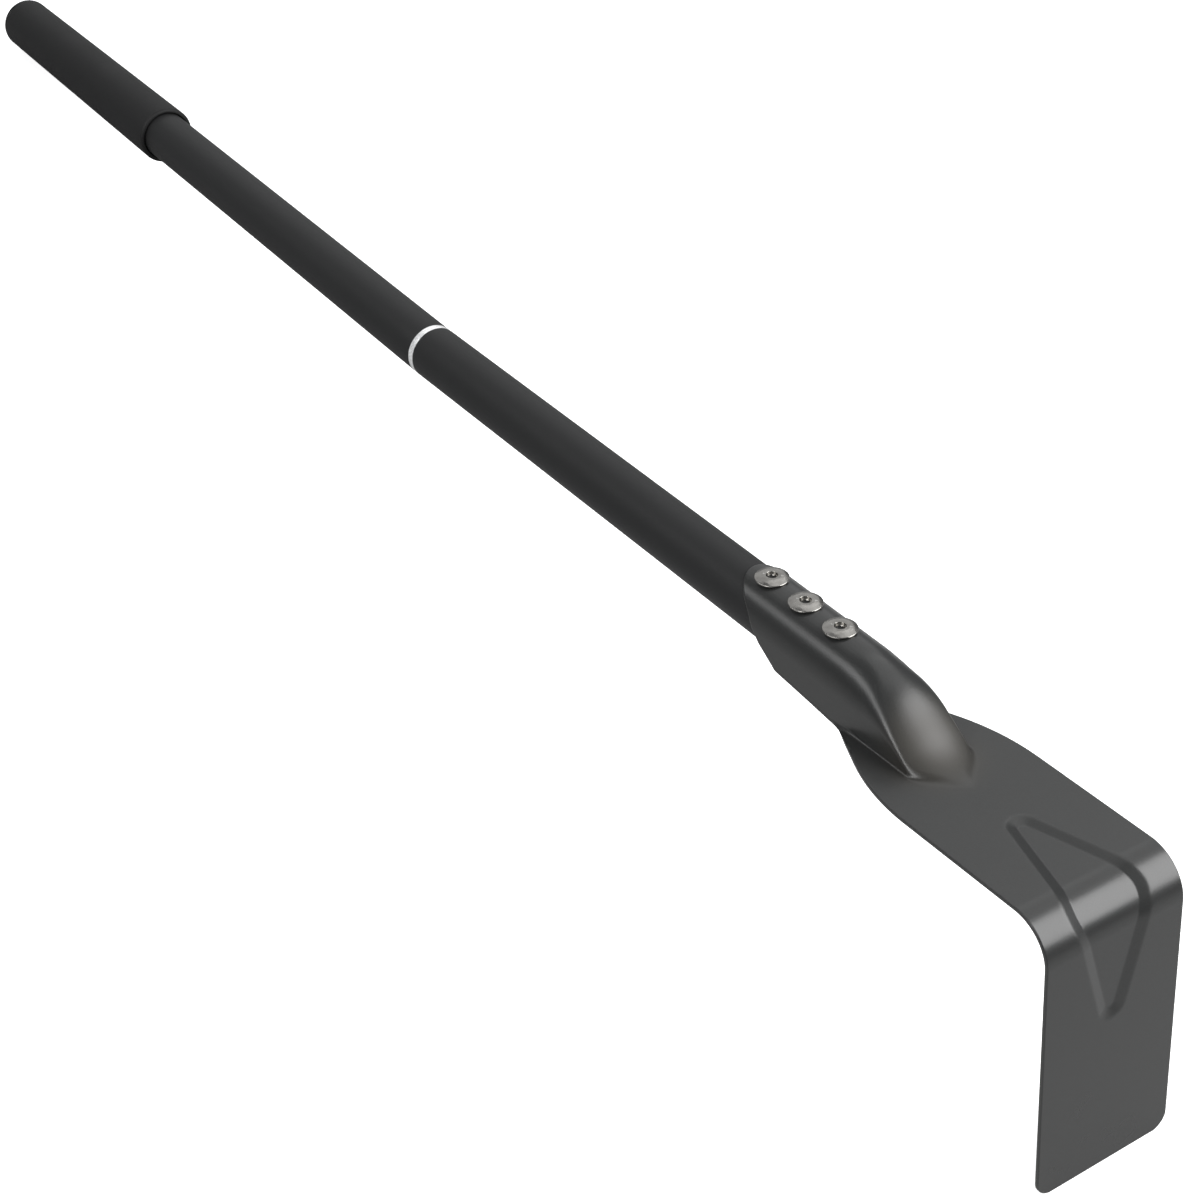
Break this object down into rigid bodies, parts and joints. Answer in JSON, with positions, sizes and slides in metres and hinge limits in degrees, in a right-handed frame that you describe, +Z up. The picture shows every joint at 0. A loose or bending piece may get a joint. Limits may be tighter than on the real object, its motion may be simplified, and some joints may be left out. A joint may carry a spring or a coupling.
{
  "type": "draw hoe",
  "caption": "Long-handled draw hoe: a bent pressed-steel blade on a tubular shaft with a sleeve grip, for drawing soil and weeds.",
  "frame": {"origin": "centre of the bounding box in X and Y, on the ground the tool lies on", "axes": "+Z up, +Y along the tool from the blade to the grip, +X across the blade; the tool lies on its blade edge and the end of its grip"},
  "size_m": [0.075, 1.146, 0.1486],
  "materials": {
    "head_coating": "satin graphite powder coat on pressed steel",
    "shaft_coating": "matte black coating on aluminium tube",
    "ring_metal": "bright satin",
    "sleeve_plastic": "moulded nylon, hidden",
    "grip_rubber": "fine matte rubber",
    "cap_plastic": "semi-gloss moulded plastic",
    "rivet_steel": "bright stainless",
    "mandrel_steel": "broken grey steel"
  },
  "bodies": {
    "root": {"grip_end_cap": "cap_plastic", "grip_sleeve": "grip_rubber", "hoe_head": "head_coating", "joint_ring": "ring_metal", "joint_sleeve": "sleeve_plastic", "lower_shaft": "shaft_coating", "rivet_body_1": "rivet_steel", "rivet_body_2": "rivet_steel", "rivet_body_3": "rivet_steel", "rivet_mandrel_1": "mandrel_steel", "rivet_mandrel_2": "mandrel_steel", "rivet_mandrel_3": "mandrel_steel", "upper_shaft": "shaft_coating"}
  },
  "joints": []
}
